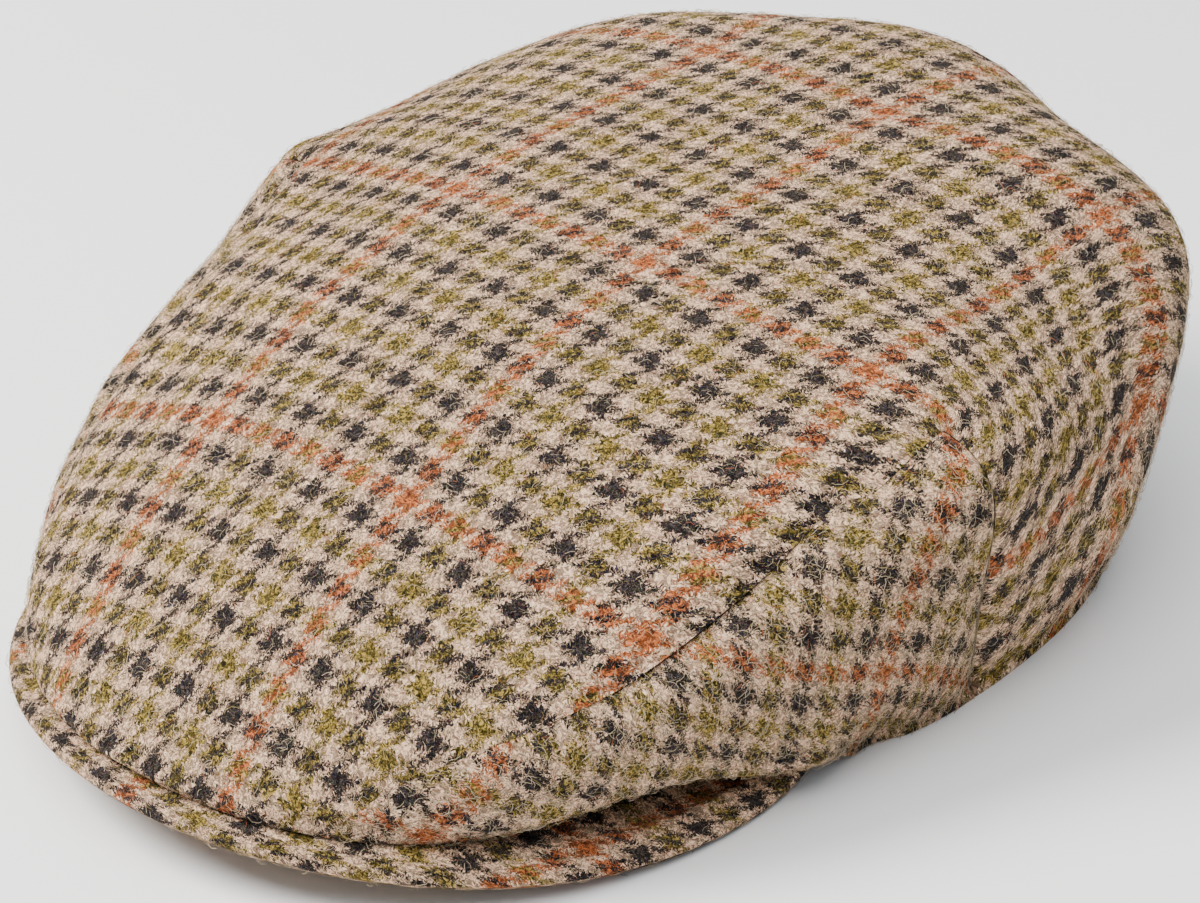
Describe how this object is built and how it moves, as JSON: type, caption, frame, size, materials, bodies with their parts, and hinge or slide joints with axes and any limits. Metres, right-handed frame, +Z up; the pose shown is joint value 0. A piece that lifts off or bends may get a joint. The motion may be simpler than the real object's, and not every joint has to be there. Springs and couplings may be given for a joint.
{
  "type": "flat cap",
  "caption": "Flat cap of checked wool cloth: a rounded one-piece top, a side panel on each side and a short stiff peak.",
  "frame": {"origin": "middle of the overall box, on the plane that the rim rests on", "axes": "+Z up; -Y to the front, where the peak is; +Y to the back; +X to the wearer's left"},
  "size_m": [0.2066, 0.2566, 0.0925],
  "materials": {
    "top_cloth": "checked wool twill, raised nap",
    "side_cloth": "checked wool twill, raised nap",
    "peak_cloth": "checked wool twill over a stiff board"
  },
  "bodies": {
    "root": {"crown_top": "top_cloth", "side_panel_left": "side_cloth", "side_panel_right": "side_cloth", "peak": "peak_cloth"}
  },
  "joints": []
}
